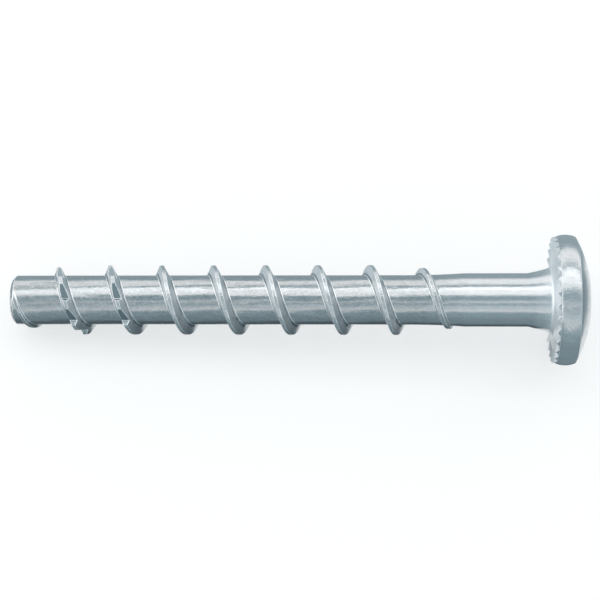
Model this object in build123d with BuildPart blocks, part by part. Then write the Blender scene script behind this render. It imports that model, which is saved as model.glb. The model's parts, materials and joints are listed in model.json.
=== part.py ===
from build123d import *
import os
from math import atan2, cos, degrees, radians, sin, sqrt, tan

# A concrete screw in one piece of cold-formed steel. Its flat-ended core carries a coarse
# right-hand thread whose first turns are notched into cutting teeth. A plain shank flares into a
# round head with locking ribs underneath and a six-lobed drive recess on top.
# The screw is built standing on its tip along +Z and is laid down on its side at the very end.
# Angles about its axis are counted from the side that it lies on. Millimetres and degrees.

# Core, shank and neck, from the flat tip upwards
length = 60.0  # from the tip to the crests of the ribs under the head
core_radius = 2.75
tip_bevel = 0.35
swell_length = 6.1  # where the core swells into the shank
shank_radius = 2.96
shank_length = 7.0
neck_length = 2.6  # the flare up to the ribs' crests
neck_angle = 14.1
neck_fillet = 0.7

# Head
head_radius = 7.2  # at the fullest line of the rounded rim
rim_edge_radius = 6.98  # at the rim's lower and upper edges
rim_height = 2.1
underside_angle = 6.0  # the underside falls back towards the rim
crown_radius = 14.4  # of the ball that the crown is a part of
land_radius = 3.4  # the flat land round the recess

# Locking ribs under the head
rib_count = 30
rib_height = 0.39  # at the outer end, above the rim's lower edge
rib_width = 0.98
rib_slope = 8.0  # the crest sinks into the underside on its way to the neck
rib_inset = 0.04  # from the rim's edge to the rib's outer end
rib_angle = 8.7

# Six-lobed drive recess, number 30
lobe_count = 6
across_lobes = 5.6
across_flutes = 3.95
flute_radius = 1.19
recess_depth = 2.9
recess_point_depth = 0.6
recess_bevel = 0.1

# Thread ridge
lead = 5.83  # from each turn to the next
crest_radius = 3.875
crest_width = 0.4
tip_flank_angle = 20.0  # of the flank that faces the tip
head_flank_angle = 26.0  # of the flank that faces the head
root_bevel = 0.1  # where each flank meets the core
start_angle = 153.3  # where the ridge begins, on the tip's face
rising_turns = 1.07
fading_turns = 1.3  # while the crest sinks to the shank's surface
sunk_turns = 1.8  # it goes on at the same slope, out of sight
thread_gap = 6.7  # between the place where it sinks in and the neck

# Cutting teeth: sloping notches in the first turns of the ridge
teeth_per_turn = 8
tooth_count = 14
tooth_floor_radius = 3.3  # at the deepest point of a notch
tooth_ramp_angle = 28.0  # from the crest down to the deepest point
tooth_lean = 22.0  # how far the cutting face leans back

overlap = 0.25  # how deep the ridge and the ribs reach into the body that they grow from
clearance = 0.3  # how far a cutting shape reaches past what it cuts


def around(radius, angle):
    """The point at this radius and angle in the plane across the axis."""
    return Vector(radius * cos(radians(angle)), radius * sin(radians(angle)))


def slope(angle):
    """How much a line at this angle rises on each millimetre."""
    return tan(radians(angle))


# Heights above the tip that follow from the sizes above
neck_start = length - neck_length
swell_end = neck_start - shank_length
swell_start = swell_end - swell_length
rim_low = length + rib_height
rim_high = rim_low + rim_height
rim_middle = rim_low + rim_height / 2
crown_centre = rim_high - sqrt(crown_radius**2 - rim_edge_radius**2)
head_top = crown_centre + sqrt(crown_radius**2 - land_radius**2)

# The corner where the line of the neck meets the line of the head's underside
neck_slope = slope(neck_angle)
underside_slope = slope(underside_angle)
neck_line = rim_edge_radius - shank_radius + neck_start * neck_slope
corner_height = (rim_low - neck_line * underside_slope) / (1 - neck_slope * underside_slope)
corner_radius = shank_radius + (corner_height - neck_start) * neck_slope

# The turned body: half its section, with the radius across and the height up
with BuildPart() as body:
    with BuildSketch(Plane.XZ):
        with BuildLine():
            core_end = (core_radius, 0)
            land_edge = (land_radius, head_top)
            core = Polyline((core_radius, swell_start), core_end, (0, 0), (0, head_top), land_edge)
            crown = RadiusArc(core @ 1, (rim_edge_radius, rim_high), crown_radius)
            rim = ThreePointArc(crown @ 1, (head_radius, rim_middle), (rim_edge_radius, rim_low))
            neck_foot = (shank_radius, neck_start)
            shank = Polyline(rim @ 1, (corner_radius, corner_height), neck_foot, (shank_radius, swell_end))
            TangentArc(core @ 0, shank @ 1, tangent=(0, 1))
        section = make_face()
        neck_corner = section.vertices().sort_by_distance((corner_radius, corner_height))[0]
        fillet(neck_corner, neck_fillet)
    revolve(axis=Axis.Z)

# The drive recess: a disc with round flutes taken out and round lobes put on, tangent to each other
flute_centre = around(across_flutes / 2 + flute_radius, 180 / lobe_count)
lobe_radius = (
    (across_lobes / 2) ** 2 + flute_centre.length**2 - across_lobes * flute_centre.X - flute_radius**2
) / (2 * flute_radius + across_lobes - 2 * flute_centre.X)
lobe_centre = Vector(across_lobes / 2 - lobe_radius, 0)
touch = lobe_centre + (flute_centre - lobe_centre).normalized() * lobe_radius

with BuildPart() as recess:
    with BuildSketch(Plane.XY.offset(head_top)):
        Circle(touch.length)
        with PolarLocations(flute_centre.length, lobe_count, start_angle=180 / lobe_count):
            Circle(flute_radius, mode=Mode.SUBTRACT)
        with PolarLocations(lobe_centre.length, lobe_count):
            Circle(lobe_radius)
    extrude(amount=-recess_depth)
    with Locations((0, 0, head_top - recess_depth)):
        Cone(0, across_flutes / 2, recess_point_depth, align=(Align.CENTER, Align.CENTER, Align.MAX))

# The locking ribs: a roof-shaped ridge that slopes into the underside, repeated round the axis
on_tip = (Align.CENTER, Align.CENTER, Align.MIN)
rib_end = rim_edge_radius - rib_inset
rib_length = rib_height / (underside_slope + slope(rib_slope))
inward = Vector(-cos(radians(rib_slope)), 0, sin(radians(rib_slope)))
outer_end = Plane(origin=Vector(rib_end, 0, length) - inward * overlap, x_dir=(0, 1, 0), z_dir=inward)

with BuildPart() as rib:
    with BuildSketch(outer_end):
        with BuildLine():
            side = rib_width / 2
            foot = rib_height + overlap
            right_corners = [(side, -rib_height), (side, -foot)]
            left_corners = [(-side, -foot), (-side, -rib_height)]
            Polyline((0, 0), *right_corners, *left_corners, close=True)
        make_face()
    extrude(amount=rib_length + 2 * overlap)

with BuildPart() as ribs:
    with PolarLocations(0, rib_count, start_angle=rib_angle):
        add(rib.part)
    Cylinder(rib_end, head_top, align=on_tip, mode=Mode.INTERSECT)


def helix(radius, rise, height, turns, angle):
    """A helical line up from this height, on a cylinder or, where the radius rises, on a cone."""
    cone = atan2(rise, turns * lead)
    with BuildLine() as line:
        Helix(lead / cos(cone), turns * lead, radius, center=(0, 0, height), cone_angle=degrees(cone))
    return line.edge().rotate(Axis.Z, angle)


def ridge(turns_below, turns, rise=0.0, drop=0.0):
    """A stretch of the ridge that starts so many turns above the tip: drop sinks its lower end into
    the core, and rise lifts it over its length. Each corner of the section runs along a helix."""
    flank_height = thread_height - root_bevel
    tip_root = -crest_width / 2 - flank_height * slope(tip_flank_angle)
    head_root = crest_width / 2 + flank_height * slope(head_flank_angle)
    bevel = root_bevel + overlap
    corners = (
        (tip_root - bevel, core_radius - overlap),
        (tip_root, core_radius + root_bevel),
        (-crest_width / 2, crest_radius),
        (crest_width / 2, crest_radius),
        (head_root, core_radius + root_bevel),
        (head_root + bevel, core_radius - overlap),
    )
    angle = start_angle + 360 * turns_below
    lines = [
        helix(radius - drop, rise, turns_below * lead + beside, turns, angle) for beside, radius in corners
    ]
    sides = [Face.make_surface_from_curves(one, other) for one, other in zip(lines, lines[1:] + lines[:1])]
    ends = [Face(Wire.make_polygon([line @ end for line in lines])) for end in (0, 1)]
    return Solid(Shell(sides + ends))


# A notch between two cutting teeth, as a cutting shape: it slopes down from the crest to a cutting
# face that leans back. The notches are placed so that the screw can lie across one of them.
thread_height = crest_radius - core_radius
tooth_depth = crest_radius - tooth_floor_radius
face_turn = degrees(atan2(tooth_depth * slope(tooth_lean), crest_radius))
deepest = Vector(tooth_floor_radius, 0)
ramp_top = around(crest_radius, -tooth_ramp_angle)
face_top = around(crest_radius, face_turn)

with BuildPart() as notch:
    with BuildSketch():
        with BuildLine():
            past_face = face_top + (face_top - deepest).normalized() * clearance
            past_ramp = ramp_top + (ramp_top - deepest).normalized() * clearance
            past_crest = around(crest_radius + 2 * clearance, -tooth_ramp_angle / 2)
            Polyline(deepest, past_face, past_crest, past_ramp, close=True)
        make_face()
    extrude(amount=thread_height + clearance, both=True)

with BuildPart() as notches:
    for number in range(tooth_count):
        angle = (tooth_ramp_angle - face_turn) / 2 + number * 360 / teeth_per_turn
        height = lead * (1 + (angle - start_angle) / 360)
        with Locations(Location((0, 0, height), (0, 0, angle))):
            add(notch.part)

# The thread: it rises out of the tip, runs at full height and fades into the shank
full_turns = (neck_start - thread_gap) / lead - rising_turns - fading_turns
ending_turns = fading_turns + sunk_turns
ending_rise = (shank_radius - crest_radius) * ending_turns / fading_turns

with BuildPart() as thread:
    add(ridge(0, rising_turns, rise=thread_height, drop=thread_height))
    add(ridge(rising_turns, full_turns))
    add(ridge(rising_turns + full_turns, ending_turns, rise=ending_rise))
    add(notches.part, mode=Mode.SUBTRACT)

# All of it is one piece of steel. The tip's bevel is cut across the core and the ridge alike.
tip_flat = core_radius - tip_bevel

with BuildPart() as screw:
    add(body.part)
    add(ribs.part)
    add(thread.part)
    Cone(tip_flat, tip_flat + head_top, head_top, align=on_tip, mode=Mode.INTERSECT)
    add(recess.part, mode=Mode.SUBTRACT)
    mouth = screw.edges().group_by(Axis.Z)[-1].filter_by(lambda edge: edge.radius < land_radius)
    chamfer(mouth, recess_bevel)

# It lies on its side, on the rim of its head and on two teeth, with its tip towards -X
tooth_reach = crest_radius * cos(radians((tooth_ramp_angle + face_turn) / 2))
tooth_height = lead * (2 - start_angle / 360)
rest_tilt = degrees(atan2(head_radius - tooth_reach, rim_middle - tooth_height))
laid = Rot(0, 90 - rest_tilt, 0) * screw.part
box = laid.bounding_box()
laid = Pos(-box.center().X, -box.center().Y, -box.min.Z) * laid
laid.label = "concrete_screw"

os.makedirs("parts", exist_ok=True)
export_step(laid, "parts/concrete_screw.step")
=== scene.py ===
# %% [markdown]
# # A concrete screw in zinc-plated steel
# The screw comes ready made from the construction model, at its real size, in metres. This lesson
# gives it the softened edges and the worn, streaky plating of the real one, and a small studio.

# %% Load the construction model
import bmesh
import bpy
import json
from math import asin, degrees, pi, radians
from mathutils import Matrix, Vector


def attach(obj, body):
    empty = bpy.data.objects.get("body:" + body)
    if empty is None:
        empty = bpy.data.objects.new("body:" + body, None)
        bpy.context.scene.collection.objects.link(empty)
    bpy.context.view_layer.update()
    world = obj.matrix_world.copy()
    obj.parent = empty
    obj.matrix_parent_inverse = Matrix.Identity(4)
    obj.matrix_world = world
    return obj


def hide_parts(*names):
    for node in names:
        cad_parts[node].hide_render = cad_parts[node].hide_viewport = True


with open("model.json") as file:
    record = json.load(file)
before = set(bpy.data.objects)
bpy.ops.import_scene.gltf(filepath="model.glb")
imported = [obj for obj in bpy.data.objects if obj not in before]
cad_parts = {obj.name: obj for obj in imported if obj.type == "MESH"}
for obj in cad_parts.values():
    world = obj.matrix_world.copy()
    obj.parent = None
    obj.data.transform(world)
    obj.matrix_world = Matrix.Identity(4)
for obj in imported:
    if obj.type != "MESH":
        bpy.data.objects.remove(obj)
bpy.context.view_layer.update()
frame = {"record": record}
mm = 0.001

# %% [markdown]
# The screw lies on its side, and its head is wider than its thread, so its own axis rises a little
# towards the head. Everything below is placed along that axis, which is read from the recess in the
# head: the middle of its mouth, and the direction that it faces.

# %% Find the screw's own axis
mounts = {mount["name"]: mount for mount in frame["record"]["mounts"]}
head_middle = Vector(mounts["drive_recess"]["pos_m"])
to_head = Vector(mounts["drive_recess"]["axis"]).normalized()
steel = bpy.data.objects["concrete_screw"]
screw_length = max((head_middle - vertex.co).dot(to_head) for vertex in steel.data.vertices)
tip_middle = head_middle - to_head * screw_length
rest_tilt = asin(to_head.z)
print("length", round(screw_length / mm, 2), "mm, rising", round(degrees(rest_tilt), 2), "degrees")

# %% [markdown]
# No real edge is perfectly sharp. The thread's crest, the cutting teeth and the ribs under the head
# catch the light in thin lines. Rounding them in the construction model would multiply its faces,
# so here a copy of the screw gets its doubled corners merged and then a very narrow bevel on every
# edge that turns by more than a set angle. That angle is wide enough to leave the soft roots of the
# thread out.

# %% Copy the screw and merge its doubled corners
same_place = 0.0005 * mm
sharp_angle = radians(28)
bpy.ops.object.select_all(action="DESELECT")
steel.select_set(True)
bpy.context.view_layer.objects.active = steel
bpy.ops.object.duplicate()
screw = bpy.context.view_layer.objects.active
screw.name = "plated_screw"
bpy.ops.object.mode_set(mode="EDIT")
bpy.ops.mesh.select_all(action="SELECT")
bpy.ops.mesh.remove_doubles(threshold=same_place)
bpy.ops.object.mode_set(mode="OBJECT")
bpy.ops.object.shade_smooth_by_angle(angle=sharp_angle)
print(screw.name, len(screw.data.vertices), "vertices")

# %% [markdown]
# The edges of the ribs and of the recess are finer than those of the thread, so they get only a
# share of the bevel's width. The flat land round the recess meets the crown at such a small angle
# that it would be shaded as one with it, so its edge is marked as sharp.

# %% Weigh the sharp edges
neck_height = 57 * mm  # along the screw from its tip, and the finer edges lie past it
fine_share = 0.25
land_angle = radians(5)
land_depth = 0.02 * mm  # how far the land's corners may lie below it
net = bmesh.new()
net.from_mesh(screw.data)
weight = net.edges.layers.float.new("bevel_weight_edge")
for edge in net.edges:
    below_land = [(head_middle - vertex.co).dot(to_head) for vertex in edge.verts]
    if edge.calc_face_angle() > sharp_angle:
        from_tip = screw_length - below_land[0]
        edge[weight] = 1.0 if from_tip < neck_height else fine_share
    elif edge.calc_face_angle() > land_angle and max(below_land) < land_depth:
        edge.smooth = False
print(sum(edge[weight] > 0 for edge in net.edges), "edges to round")
net.to_mesh(screw.data)
net.free()

# %% [markdown]
# A bevel modifier rounds all of them in one step and leaves the long smooth faces as they are. Its
# new faces get a material of their own, which paints a highlight along the edges.

# %% Round them
edge_width = 0.05 * mm
plating = bpy.data.materials.new("bright zinc plating")
# this material paints a highlight along the edges, and the next one paints shade in the notches
painted_edge_highlight = bpy.data.materials.new("painted edge highlight")
painted_shade_notch = bpy.data.materials.new("notch floor with painted shade")
finishes = (plating, painted_edge_highlight, painted_shade_notch)
screw.data.materials.clear()
for material in finishes:
    screw.data.materials.append(material)
rounding = screw.modifiers.new("rounded edges", "BEVEL")
rounding.width = edge_width
rounding.segments = 2
rounding.limit_method = "WEIGHT"
rounding.use_clamp_overlap = False
rounding.harden_normals = True
# the bevel's new faces take the material that paints a highlight along the edges
rounding.material = finishes.index(painted_edge_highlight)
bpy.ops.object.modifier_apply(modifier="rounded edges")
print(screw.name, len(screw.data.polygons), "faces")

# %% [markdown]
# The notches between the cutting teeth are pressed in, and their floors get a darker metal, a
# painted shade. Their faces are the only ones between the core and the crest that look neither
# towards the tip nor towards the head, as the flanks do. So they can be picked by place and
# direction. The crest itself rises out of the core over the first turn.

# %% Pick the faces of the notches
core_radius = 2.75 * mm
crest_radius = 3.875 * mm
rising_end = 6.24 * mm  # along the screw from its tip, where the ridge has its full height
notches_end = 16 * mm
above_core = 0.08 * mm
below_crest = 0.07 * mm
most_lean = 0.06  # how much of a notch face's direction may lie along the axis
# the faces of the notches take the material that paints shade on their floors
plated = finishes.index(plating)
notch_faces = 0
for face in screw.data.polygons:
    from_tip = face.center - tip_middle
    along = from_tip.dot(to_head)
    radius = (from_tip - to_head * along).length
    crest = core_radius + (crest_radius - core_radius) * min(1.0, along / rising_end)
    inside_ridge = core_radius + above_core < radius < crest - below_crest
    across_axis = abs(face.normal.dot(to_head)) < most_lean
    if inside_ridge and across_axis and along < notches_end and face.material_index == plated:
        face.material_index = finishes.index(painted_shade_notch)
        notch_faces += 1
print(notch_faces, "faces in the notches")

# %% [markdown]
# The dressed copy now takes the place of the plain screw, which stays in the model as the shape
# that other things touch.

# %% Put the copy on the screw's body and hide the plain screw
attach(screw, "root")
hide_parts("concrete_screw")
print(screw.name, "takes the plain screw's place")

# %% [markdown]
# The plating's pattern follows the screw, not the floor: streaks run along the shank, and each
# region of the screw is worn in its own way. A flat map of the surface would need seams across the
# thread, so the pattern is worked out in space. A small node group measures each point of the
# surface: how far it is from the tip and from the axis, both in millimetres, its position in the
# screw's own directions, and how squarely the surface faces the head.

# %% Two helpers for node trees
def new_group(name, inputs, outputs):
    """An empty group. Its inputs and outputs are pairs of a label and a kind of socket."""
    group = bpy.data.node_groups.new(name, "ShaderNodeTree")
    for side, sockets in (("INPUT", inputs), ("OUTPUT", outputs)):
        for label, kind in sockets:
            group.interface.new_socket(label, in_out=side, socket_type="NodeSocket" + kind)
    return group


def node(tree, kind, inputs=(), **settings):
    """A node whose inputs are linked to sockets or set to values."""
    made = tree.nodes.new(kind)
    for key, value in settings.items():
        setattr(made, key, value)
    for key, value in dict(inputs).items():
        if isinstance(value, bpy.types.NodeSocket):
            tree.links.new(value, made.inputs[key])
        else:
            made.inputs[key].default_value = value
    return made


print("helpers new_group and node")

# %% A group that measures where a point lies on the screw
place = new_group(
    "place on the screw", [],
    [("Along", "Float"), ("Radius", "Float"), ("Position", "Vector"), ("Facing head", "Float")],
)
ends = place.nodes.new("NodeGroupOutput")
where = node(place, "ShaderNodeTexCoord").outputs["Object"]
turned = node(
    place, "ShaderNodeMapping",
    {"Vector": where, "Location": tip_middle, "Rotation": (0, -rest_tilt, 0), "Scale": (mm, mm, mm)},
    vector_type="TEXTURE",
).outputs[0]
parts = node(place, "ShaderNodeSeparateXYZ", {"Vector": turned})
across = node(place, "ShaderNodeCombineXYZ", {"Y": parts.outputs["Y"], "Z": parts.outputs["Z"]})
distance = node(place, "ShaderNodeVectorMath", {0: across.outputs[0]}, operation="LENGTH")
looks = node(place, "ShaderNodeNewGeometry").outputs["Normal"]
facing = node(place, "ShaderNodeVectorMath", {0: looks, 1: to_head}, operation="DOT_PRODUCT")
place.links.new(parts.outputs["X"], ends.inputs["Along"])
place.links.new(distance.outputs["Value"], ends.inputs["Radius"])
place.links.new(turned, ends.inputs["Position"])
place.links.new(facing.outputs["Value"], ends.inputs["Facing head"])
print("group", place.name)

# %% [markdown]
# Every stage of making leaves fine marks. Drawing the wire leaves streaks along it, rolling the
# thread leaves faint rings round it, pressing the head leaves it mottled, and the zinc itself has a
# fine grain. All four are noise that is stretched one way or another, so one group makes them all:
# broad noise under fine noise, with its own density along the screw and across it.

# %% A group for stretched marks
def math(tree, operation, *values):
    return node(tree, "ShaderNodeMath", dict(enumerate(values)), operation=operation).outputs[0]


marks = new_group(
    "tool marks", [("Position", "Vector"), ("Along", "Float"), ("Across", "Float")], [("Height", "Float")]
)
starts = marks.nodes.new("NodeGroupInput")
ends = marks.nodes.new("NodeGroupOutput")
scaling = node(
    marks, "ShaderNodeCombineXYZ",
    {"X": starts.outputs["Along"], "Y": starts.outputs["Across"], "Z": starts.outputs["Across"]},
).outputs[0]
stretched = node(
    marks, "ShaderNodeVectorMath", {0: starts.outputs["Position"], 1: scaling}, operation="MULTIPLY"
).outputs[0]
fine_share_of_height = 0.6
fine_noise = {"Vector": stretched, "Scale": 1.0, "Detail": 4.0, "Roughness": 0.6}
broad_noise = {"Vector": stretched, "Scale": 0.3, "Detail": 2.0}
fine = node(marks, "ShaderNodeTexNoise", fine_noise).outputs["Fac"]
broad = node(marks, "ShaderNodeTexNoise", broad_noise).outputs["Fac"]
fine_part = math(marks, "MULTIPLY", fine, fine_share_of_height)
both = math(marks, "MULTIPLY_ADD", broad, 1 - fine_share_of_height, fine_part)
marks.links.new(both, ends.inputs["Height"])
print("group", marks.name)

# %% [markdown]
# Bright zinc is a thin bluish grey coat of metal. The shank is the smoothest part and mirrors the
# room in long streaks. The rolled core between the turns of the thread is a little darker, and
# rougher towards the tip. The flanks that face the tip are speckled and painted pale, a painted light
# for the light they catch, and those that face the head are even. The head is softly mottled on top,
# and its underside is painted pale as painted light. One plain metal couldn't show all this, so
# masks made from the place on the screw choose between the regions.

# %% The marks on the plating
def tool_marks(tree, spot, along, across):
    """The height of marks that follow each other this densely, by the millimetre."""
    inputs = {"Position": spot["Position"], "Along": along, "Across": across}
    return node(tree, "ShaderNodeGroup", inputs, node_tree=marks).outputs["Height"]


plating.use_nodes = True
tree = plating.node_tree
surface = tree.nodes["Principled BSDF"]
spot = node(tree, "ShaderNodeGroup", node_tree=place).outputs
streaks = tool_marks(tree, spot, along=0.9, across=12.0)
rings = tool_marks(tree, spot, along=9.0, across=0.7)
mottle = tool_marks(tree, spot, along=3.5, across=3.5)
grain = tool_marks(tree, spot, along=4.0, across=6.5)
print("streaks, rings, mottle and grain")

# %% The regions of the screw
def mask(tree, value, none, full):
    """0 where the value is none, 1 where it is full, and level past both ends."""
    return node(tree, "ShaderNodeMapRange", {"Value": value, "From Min": none, "From Max": full}).outputs[0]


below_neck = mask(tree, spot["Along"], none=57.0, full=55.0)
rolled = mask(tree, spot["Along"], none=51.0, full=46.0)
near_tip = mask(tree, spot["Along"], none=18.0, full=4.0)
on_head = mask(tree, spot["Along"], none=59.6, full=60.2)
on_ridge = math(tree, "MULTIPLY", mask(tree, spot["Radius"], none=2.98, full=3.04), below_neck)
on_crest = math(tree, "MULTIPLY", mask(tree, spot["Radius"], none=3.76, full=3.82), below_neck)
looks_to_head = mask(tree, spot["Facing head"], none=0.3, full=0.6)
looks_to_tip = mask(tree, spot["Facing head"], none=-0.3, full=-0.6)
facing_head = math(tree, "MULTIPLY", on_ridge, looks_to_head)
facing_tip = math(tree, "MULTIPLY", on_ridge, looks_to_tip)
past_neck = mask(tree, spot["Along"], none=57.0, full=57.6)
below_rim = mask(tree, spot["Along"], none=60.45, full=60.35)
looks_down = mask(tree, spot["Facing head"], none=-0.2, full=-0.5)
under_head = math(tree, "MULTIPLY", math(tree, "MULTIPLY", past_neck, looks_down), below_rim)
print("regions of the plating")

# %% [markdown]
# The marks are first of all a relief, so their height feeds a bump. It is deeper on the core, on the
# flanks that face the tip and on the head than on the smooth shank, and the flanks that face the
# head have next to none.

# %% The relief of the plating
def blend(tree, share, low, high):
    return node(tree, "ShaderNodeMix", {"Factor": share, "A": low, "B": high}).outputs["Result"]


def layers(tree, ground, *regions):
    """The ground's value, with the value of each region laid over it in turn."""
    for region, value in regions:
        ground = blend(tree, region, ground, value)
    return ground


rings_in_streaks = 0.35
grain_on_core = 0.5
grain_on_shank = 0.4
deepest_mark = 0.06 * mm
rolled_marks = blend(tree, grain_on_core, blend(tree, rings_in_streaks, streaks, rings), grain)
drawn_marks = blend(tree, grain_on_shank, streaks, grain)
height = layers(tree, drawn_marks, (rolled, rolled_marks), (on_ridge, grain), (on_head, mottle))
depth = layers(tree, 0.3, (rolled, 0.6), (facing_head, 0.02), (facing_tip, 0.6), (on_head, 0.7))
bump = node(tree, "ShaderNodeBump", {"Height": height, "Strength": depth, "Distance": deepest_mark})
tree.links.new(bump.outputs[0], surface.inputs["Normal"])
print("deepest mark", round(deepest_mark / mm, 3), "mm")

# %% [markdown]
# Zinc grows unevenly on steel, so the same marks also make the coat a little rougher here and
# smoother there, and the grain makes it lighter and darker.

# %% The roughness of the plating
def swing(tree, marks_height, reach):
    """From -reach in deep marks to reach on high ones. Few marks leave the heights 0.35 to 0.65."""
    inputs = {"Value": marks_height, "From Min": 0.35, "From Max": 0.65, "To Min": -reach, "To Max": reach}
    return node(tree, "ShaderNodeMapRange", inputs).outputs[0]


rough = layers(
    tree, 0.14, (near_tip, 0.22), (on_ridge, 0.27), (facing_tip, 0.36), (facing_head, 0.33),
    (on_head, 0.2), (under_head, 0.32),
)
uneven = math(tree, "ADD", rough, swing(tree, height, 0.06))
tree.links.new(uneven, surface.inputs["Roughness"])
print("roughness of", plating.name)

# %% The colour of the plating
zinc_grey = (0.6, 0.632, 0.65)
speckle = swing(tree, grain, 0.12)
# besides the grain's speckle, this paints light: the flanks that face the tip and the head's underside are
# made paler
bright = layers(
    tree, math(tree, "MULTIPLY_ADD", speckle, 0.5, 1.0),
    (rolled, math(tree, "ADD", speckle, 0.85)),
    (facing_head, 1.12),
    (facing_tip, math(tree, "ADD", speckle, 1.3)),
    (on_crest, math(tree, "ADD", speckle, 1.0)),
    (under_head, 1.4),
)
tint = node(tree, "ShaderNodeVectorMath", {0: zinc_grey, 1: bright}, operation="MULTIPLY")
tree.links.new(tint.outputs["Vector"], surface.inputs["Base Color"])
print("colour of", plating.name)

# %% [markdown]
# The pale regions are painted light. There the zinc is only half a metal, so their pale colour
# shows from every side.

# %% Painted light on the pale regions
# painted light: the pale regions are only half a metal, so their paler colour shows as diffuse light
pale = math(tree, "MAXIMUM", facing_tip, under_head)
tree.links.new(blend(tree, pale, 1.0, 0.5), surface.inputs["Metallic"])
print("material", plating.name)

# %% [markdown]
# The floors of the notches are small and lie in shade, so an even, darker metal paints that shade on them.

# %% The painted shade in the notches
painted_shade_notch.use_nodes = True
surface = painted_shade_notch.node_tree.nodes["Principled BSDF"]
# painted shade: the notch floors get a darker base colour
surface.inputs["Base Color"].default_value = (0.28, 0.34, 0.37, 1)
surface.inputs["Metallic"].default_value = 1.0
surface.inputs["Roughness"].default_value = 0.3
print("material", painted_shade_notch.name)

# %% [markdown]
# The edges carry a painted highlight, broken here and there by dull spots. The same group of marks
# decides where: a ramp cuts its heights into dull spots and bright painted highlight.

# %% The painted highlight on the edges
def ramp(tree, value, *stops):
    """Colours at places from 0 to 1, blended in between."""
    made = node(tree, "ShaderNodeValToRGB", {"Fac": value})
    points = made.color_ramp.elements
    while len(points) < len(stops):
        points.new(0.5)
    for point, (position, colour) in zip(points, stops):
        point.position = position
        point.color = (*colour, 1)
    return made.outputs["Color"]


dull_spot = (0.4, (0.64, 0.69, 0.72))
painted_highlight_stop = (0.5, (0.97, 0.98, 0.98))
painted_edge_highlight.use_nodes = True
tree = painted_edge_highlight.node_tree
surface = tree.nodes["Principled BSDF"]
spot = node(tree, "ShaderNodeGroup", node_tree=place).outputs
# painted highlight: the edges' colour is near white, broken by dull spots
shine = ramp(tree, tool_marks(tree, spot, along=3.0, across=3.0), dull_spot, painted_highlight_stop)
tree.links.new(shine, surface.inputs["Base Color"])
surface.inputs["Metallic"].default_value = 1.0
surface.inputs["Roughness"].default_value = 0.38
print("material", painted_edge_highlight.name)

# %% [markdown]
# The screw lies on a sheet of white paper. Grey paper that glows a little comes out white in the
# picture, and the screw mirrors it as white, but it throws less light back at the screw than white
# paper would, and it still takes the screw's shadow.

# %% The floor
paper_grey = 0.5
paper_glow = 0.55
bpy.ops.mesh.primitive_plane_add(size=4.0, location=(0, 0, 0))
floor = bpy.context.view_layer.objects.active
floor.name = "studio_floor"
paper = bpy.data.materials.new("white paper")
paper.use_nodes = True
tree = paper.node_tree
sheet = tree.nodes["Principled BSDF"]
sheet.inputs["Base Color"].default_value = (paper_grey, paper_grey, paper_grey, 1)
sheet.inputs["Roughness"].default_value = 0.9
sheet.inputs["Emission Color"].default_value = (1, 1, 1, 1)
light_path = tree.nodes.new("ShaderNodeLightPath")
seen = math(tree, "MAXIMUM", light_path.outputs["Is Camera Ray"], light_path.outputs["Is Glossy Ray"])
seen = math(tree, "MAXIMUM", seen, light_path.outputs["Is Transmission Ray"])
tree.links.new(math(tree, "MULTIPLY", seen, paper_glow), sheet.inputs["Emission Strength"])
floor.data.materials.append(paper)
print("floor laid")

# %% [markdown]
# On a white floor a round piece of bright steel loses its outline. A photographer lays grey cards
# along both sides of it, just outside what the camera sees. Here the camera can't see the cards and
# they cast no shadow, so they may lie close to the screw.

# %% A card
card_height = 0.2 * mm


def card(name, from_x, to_x, from_y, to_y, colour):
    """A card on the floor. The camera doesn't see it, but the steel does."""
    middle = ((from_x + to_x) / 2, (from_y + to_y) / 2, card_height)
    bpy.ops.mesh.primitive_plane_add(size=1.0, location=middle)
    made = bpy.context.view_layer.objects.active
    made.name = name
    made.scale = (abs(to_x - from_x), abs(to_y - from_y), 1)
    finish = bpy.data.materials.new(name.replace("_", " "))
    finish.use_nodes = True
    finish.node_tree.nodes["Principled BSDF"].inputs["Base Color"].default_value = (*colour, 1)
    finish.node_tree.nodes["Principled BSDF"].inputs["Roughness"].default_value = 0.9
    made.data.materials.append(finish)
    made.visible_camera = False
    made.visible_shadow = False
    made.visible_diffuse = False


print("cards lie", round(card_height / mm, 2), "mm above the floor")

# %% The cards round the screw
near = 3.2 * mm  # bare floor right under the screw, as far as this on each side
seam = 8 * mm  # where the near cards end and the far cards begin
far = 700 * mm
head_back, head_front = 26.8 * mm, 28.2 * mm  # bare floor beside the head's underside
near_end, past_head = 33 * mm, 41 * mm  # and past the head
pale_grey = (0.44, 0.51, 0.54)
mid_grey = (0.3, 0.37, 0.4)
dark_grey = (0.16, 0.2, 0.22)
card("far_card_behind", -far, far, seam, far, pale_grey)
card("far_card_before", -far, far, -seam, -far, mid_grey)
for name, from_x, to_x in (("shank", -far, head_back), ("head", head_front, near_end)):
    card("near_card_behind_" + name, from_x, to_x, near, seam, pale_grey)
    card("near_card_before_" + name, from_x, to_x, -near, -seam, dark_grey)
card("card_past_the_head", past_head, far, -seam, seam, mid_grey)
print("cards laid")

# %% [markdown]
# Polished metal shows whatever stands around it. Lamps alone would leave the shank black between
# small highlights, so the whole sky is one soft light, with long light and dark strips that run
# beside the screw. They give it the long bands that make it look like metal. A plain wall closes
# the sky at either end.

# %% The strips of the sky
sky_strength = 2.0


def sky_colour(light):
    """The dark strips are a little blue, as the shadows in a room are."""
    blue = max(0.0, 1.0 - light)
    return [light * level / sky_strength for level in (1 - 0.44 * blue, 1, 1 + 0.17 * blue)]


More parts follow.
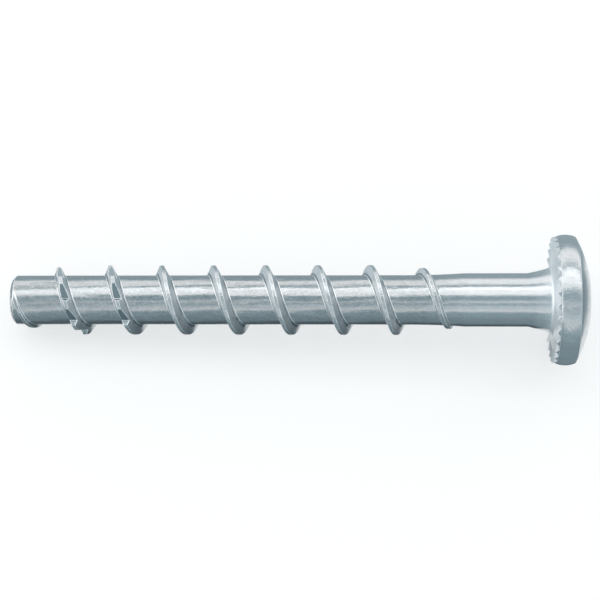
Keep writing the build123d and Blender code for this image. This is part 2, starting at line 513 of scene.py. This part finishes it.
# Degrees up from the horizon behind the screw, over the top and down in front, and the light there
strips = [
    (0, 0.8), (4, 1.25), (33, 1.25), (37, 0.5), (46, 0.5), (49, 2.0), (56, 2.0), (60, 1.4), (81, 1.4),
    (88, 0.5), (108, 0.5), (111, 0.95), (116, 0.95), (119, 0.5), (127, 0.55), (132, 0.78), (147, 0.78),
    (150, 1.0), (155, 1.0), (159, 0.5), (180, 0.42),
]
print("strips", len(strips))

# %% The sky
def blend_colour(tree, share, low, high):
    inputs = {"Factor": share, "A": low, "B": (*high, 1)}
    return node(tree, "ShaderNodeMix", inputs, data_type="RGBA").outputs["Result"]


tip_wall_light = 1.5
head_wall_light = 0.75
sky = bpy.data.worlds.new("studio sky")
bpy.context.scene.world = sky
sky.use_nodes = True
tree = sky.node_tree
direction = node(tree, "ShaderNodeTexCoord").outputs["Generated"]
parts = node(tree, "ShaderNodeSeparateXYZ", {"Vector": direction})
angle = math(tree, "ARCTAN2", parts.outputs["Z"], parts.outputs["Y"])
half_turns = math(tree, "MULTIPLY", angle, 1 / pi)
room = ramp(tree, half_turns, *[(height / 180, sky_colour(light)) for height, light in strips])
towards_tip = mask(tree, parts.outputs["X"], none=-0.75, full=-0.88)
towards_head = mask(tree, parts.outputs["X"], none=0.7, full=0.85)
room = blend_colour(tree, towards_tip, room, sky_colour(tip_wall_light))
room = blend_colour(tree, towards_head, room, sky_colour(head_wall_light))
tree.links.new(room, tree.nodes["Background"].inputs["Color"])
tree.nodes["Background"].inputs["Strength"].default_value = sky_strength
print("world", sky.name)

# %% [markdown]
# The camera looks down on the screw from the side that the photograph shows: a little in front of
# straight above, and a little towards the head. It is two and a half lengths of the screw away.

# %% The camera
pixel = 0.11177 * mm  # at the screw's axis
picture_width = 600  # in pixels
eye_distance = 1440 * pixel
eye_along = 42.76 * mm  # from the tip
eye_in_front = 11.0 * mm
lean = radians(10.7)
aim_along = 32.23 * mm
closer = 1.003  # fits the screw's outline to the photograph's
sensor_width = 36.0

straight_up = to_head.cross(Vector((0, 1, 0)))
towards_eye = Matrix.Rotation(lean, 3, to_head) @ straight_up
in_picture_up = towards_eye.cross(to_head)
eye = tip_middle + to_head * eye_along - in_picture_up * eye_in_front + towards_eye * eye_distance
aim = tip_middle + to_head * aim_along
back = (eye - aim).normalized()
up = back.cross(to_head).normalized()
right = up.cross(back)

camera_data = bpy.data.cameras.new("camera")
camera = bpy.data.objects.new("camera", camera_data)
bpy.context.scene.collection.objects.link(camera)
camera.matrix_world = Matrix.Translation(eye) @ Matrix((right, up, back)).transposed().to_4x4()
camera_data.sensor_width = sensor_width
camera_data.lens = sensor_width * (eye - aim).length / (picture_width * pixel) * closer
camera_data.clip_start = 1 * mm
bpy.context.scene.camera = camera
print("camera", [round(value, 4) for value in eye], "lens", round(camera_data.lens, 1))

# %% [markdown]
# Blender's usual view softens bright places, as film does. The Standard view shows each colour as
# it is written here.

# %% Show colours as they are written
bpy.context.scene.view_settings.view_transform = "Standard"
print("view", bpy.context.scene.view_settings.view_transform)
